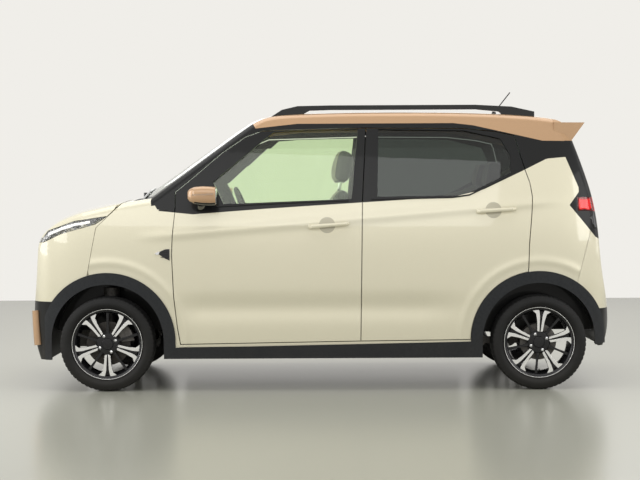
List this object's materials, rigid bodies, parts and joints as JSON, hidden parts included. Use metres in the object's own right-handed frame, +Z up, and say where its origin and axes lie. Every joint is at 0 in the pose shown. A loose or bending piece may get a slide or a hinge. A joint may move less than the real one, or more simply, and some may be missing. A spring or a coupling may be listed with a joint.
{
  "type": "kei hatchback car",
  "caption": "Tall five-door electric kei hatchback with two-tone body, roof rails, opening doors, hood and tailgate, steering and rolling wheels.",
  "frame": {"origin": "centre of the bounding box's bottom face, on the ground", "axes": "+X from nose to tail, +Y towards the car's right hand side, +Z up"},
  "size_m": [3.3955, 1.744, 1.7651],
  "materials": {
    "body_cream": "gloss",
    "body_copper": "metallic gloss",
    "black_plastic": "matte",
    "gloss_black": "gloss",
    "glass_clear": "clear",
    "glass_dark": "privacy tint",
    "lamp_clear": "clear",
    "lamp_red": "gloss",
    "tyre_rubber": "matte",
    "rim_alloy": "machined and black",
    "steel_parts": "bare",
    "underbody": "matte",
    "seat_fabric": "woven",
    "interior_plastic": "grained",
    "alloy_case": "cast"
  },
  "bodies": {
    "car": {"body_shell": "body_cream", "roof_panel": "body_copper", "floor_pan": "underbody", "fenders": "body_cream", "front_bumper": "body_cream", "rear_bumper": "body_cream", "windshield": "glass_clear", "cowl": "black_plastic", "grille": "black_plastic", "headlamps": "lamp_clear", "tail_lamps": "lamp_red", "cladding": "black_plastic", "roof_rails": "black_plastic", "antenna": "black_plastic", "front_wipers": "black_plastic", "front_seats": "seat_fabric", "rear_seat": "seat_fabric", "dashboard": "interior_plastic", "front_subframe": "underbody", "rear_axle": "steel_parts", "battery_pack": "alloy_case", "drive_motor": "alloy_case"},
    "hood": {"hood": "body_cream"},
    "tailgate": {"tailgate": "body_cream", "tailgate_glass": "glass_dark", "spoiler": "body_copper", "rear_wiper": "black_plastic"},
    "charge_lid": {"charge_lid": "body_cream"},
    "front_door_left": {"front_door_left": "body_cream", "front_glass_left": "glass_clear", "mirror_left": "body_copper"},
    "front_door_right": {"front_door_right": "body_cream", "front_glass_right": "glass_clear", "mirror_right": "body_copper"},
    "rear_door_left": {"rear_door_left": "body_cream", "rear_glass_left": "glass_dark"},
    "rear_door_right": {"rear_door_right": "body_cream", "rear_glass_right": "glass_dark"},
    "steering_wheel": {"steering_wheel": "interior_plastic"},
    "knuckle_left": {"knuckle_left": "steel_parts"},
    "knuckle_right": {"knuckle_right": "steel_parts"},
    "wheel_front_left": {"rim_front_left": "rim_alloy", "tyre_front_left": "tyre_rubber"},
    "wheel_front_right": {"rim_front_right": "rim_alloy", "tyre_front_right": "tyre_rubber"},
    "wheel_rear_left": {"rim_rear_left": "rim_alloy", "tyre_rear_left": "tyre_rubber"},
    "wheel_rear_right": {"rim_rear_right": "rim_alloy", "tyre_rear_right": "tyre_rubber"}
  },
  "joints": [
    {"name": "front_door_left_hinge", "type": "hinge", "parent": "car", "child": "front_door_left", "pos_m": [-0.837, -0.7285, 0.62], "axis": [0, 0, -1], "range_deg": [0, 65]},
    {"name": "rear_door_left_hinge", "type": "hinge", "parent": "car", "child": "rear_door_left", "pos_m": [0.25, -0.7285, 0.62], "axis": [0, 0, -1], "range_deg": [0, 65]},
    {"name": "steer_left", "type": "hinge", "parent": "car", "child": "knuckle_left", "pos_m": [-1.2325, -0.6, 0.27311], "axis": [0, 0, 1], "range_deg": [-35, 35]},
    {"name": "front_left_spin", "type": "hinge", "parent": "knuckle_left", "child": "wheel_front_left", "pos_m": [-1.2325, -0.645, 0.27311], "axis": [0, 1, 0], "continuous": true},
    {"name": "rear_left_spin", "type": "hinge", "parent": "car", "child": "wheel_rear_left", "pos_m": [1.2625, -0.64, 0.27311], "axis": [0, 1, 0], "continuous": true},
    {"name": "front_door_right_hinge", "type": "hinge", "parent": "car", "child": "front_door_right", "pos_m": [-0.837, 0.7285, 0.62], "axis": [0, 0, 1], "range_deg": [0, 65]},
    {"name": "rear_door_right_hinge", "type": "hinge", "parent": "car", "child": "rear_door_right", "pos_m": [0.25, 0.7285, 0.62], "axis": [0, 0, 1], "range_deg": [0, 65]},
    {"name": "steer_right", "type": "hinge", "parent": "car", "child": "knuckle_right", "pos_m": [-1.2325, 0.6, 0.27311], "axis": [0, 0, 1], "range_deg": [-35, 35]},
    {"name": "front_right_spin", "type": "hinge", "parent": "knuckle_right", "child": "wheel_front_right", "pos_m": [-1.2325, 0.645, 0.27311], "axis": [0, 1, 0], "continuous": true},
    {"name": "rear_right_spin", "type": "hinge", "parent": "car", "child": "wheel_rear_right", "pos_m": [1.2625, 0.64, 0.27311], "axis": [0, 1, 0], "continuous": true},
    {"name": "hood_hinge", "type": "hinge", "parent": "car", "child": "hood", "pos_m": [-1.1, 0, 1.122], "axis": [0, 1, 0], "range_deg": [0, 50]},
    {"name": "tailgate_hinge", "type": "hinge", "parent": "car", "child": "tailgate", "pos_m": [1.366, 0, 1.59], "axis": [0, -1, 0], "range_deg": [0, 80]},
    {"name": "charge_lid_hinge", "type": "hinge", "parent": "car", "child": "charge_lid", "pos_m": [1.34, 0.7245, 0.951], "axis": [0, 0, 1], "range_deg": [0, 90]},
    {"name": "steering_wheel_turn", "type": "hinge", "parent": "car", "child": "steering_wheel", "pos_m": [-0.47, 0.33, 1.012], "axis": [0.9063, 0, 0.4226], "range_deg": [-560, 560]}
  ],
  "couplings": [
    {"joint": "steer_right", "follows": "steer_left", "ratio": 1},
    {"joint": "steering_wheel_turn", "follows": "steer_left", "ratio": -15}
  ]
}
